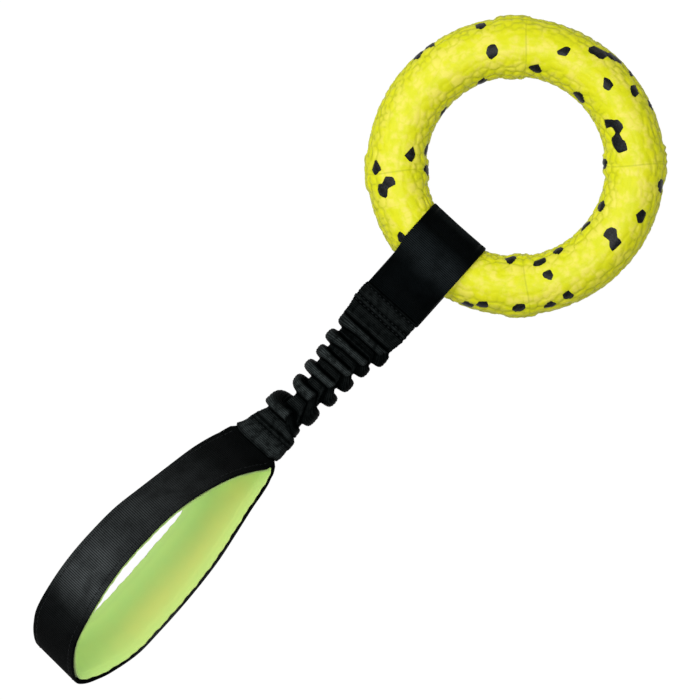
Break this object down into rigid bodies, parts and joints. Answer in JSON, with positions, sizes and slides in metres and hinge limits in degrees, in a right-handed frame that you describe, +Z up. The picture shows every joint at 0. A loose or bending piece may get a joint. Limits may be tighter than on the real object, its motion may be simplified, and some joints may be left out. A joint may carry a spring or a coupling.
{
  "type": "dog tug toy",
  "caption": "Moulded foam ring in a webbing strap, joined by a gathered bungee sleeve to a padded webbing hand loop.",
  "frame": {"origin": "centre of the footprint, on the surface that the toy lies on", "axes": "+Y from the hand loop to the ring, along the toy; +Z up, square to the ring; +X across"},
  "size_m": [0.14, 0.3899, 0.0586],
  "materials": {
    "bead_foam": "moulded bead foam, fused beads showing, slight sheen",
    "black_webbing": "woven nylon webbing with fine crosswise ribs, gathered over the bungee",
    "elastic": "elastic core",
    "green_padding": "soft knitted padding",
    "thread": "bonded polyester sewing thread"
  },
  "bodies": {
    "neck": {"upper_cuff": "black_webbing", "upper_cuff_stitching": "thread", "ring_strap_end": "black_webbing", "bungee_sleeve": "black_webbing", "bungee_core": "elastic"},
    "ring_loop": {"ring_strap": "black_webbing"},
    "ring": {"foam_ring": "bead_foam"},
    "bungee_end": {"lower_cuff": "black_webbing", "lower_cuff_stitching": "thread", "handle_end": "black_webbing"},
    "hand_loop": {"handle_webbing": "black_webbing", "handle_lining": "green_padding", "edge_stitching_left": "thread", "edge_stitching_right": "thread"}
  },
  "joints": [
    {"name": "neck_fold", "type": "hinge", "parent": "neck", "child": "ring_loop", "pos_m": [0, 0.04088, 0.0106], "axis": [1, 0, 0], "range_deg": [-80, 80]},
    {"name": "ring_turn", "type": "hinge", "parent": "ring_loop", "child": "ring", "pos_m": [0, 0.12498, 0.0158], "axis": [0, 0, 1], "continuous": true},
    {"name": "bungee_stretch", "type": "slide", "parent": "neck", "child": "bungee_end", "axis": [0, -1, 0], "range_m": [0, 0.055], "stiffness_N_per_m": 200, "deforming": ["bungee_sleeve", "bungee_core"]},
    {"name": "handle_fold", "type": "hinge", "parent": "bungee_end", "child": "hand_loop", "pos_m": [-0.0038, -0.05702, 0.01276], "axis": [0.788, 0, 0.6157], "range_deg": [-60, 60]}
  ]
}
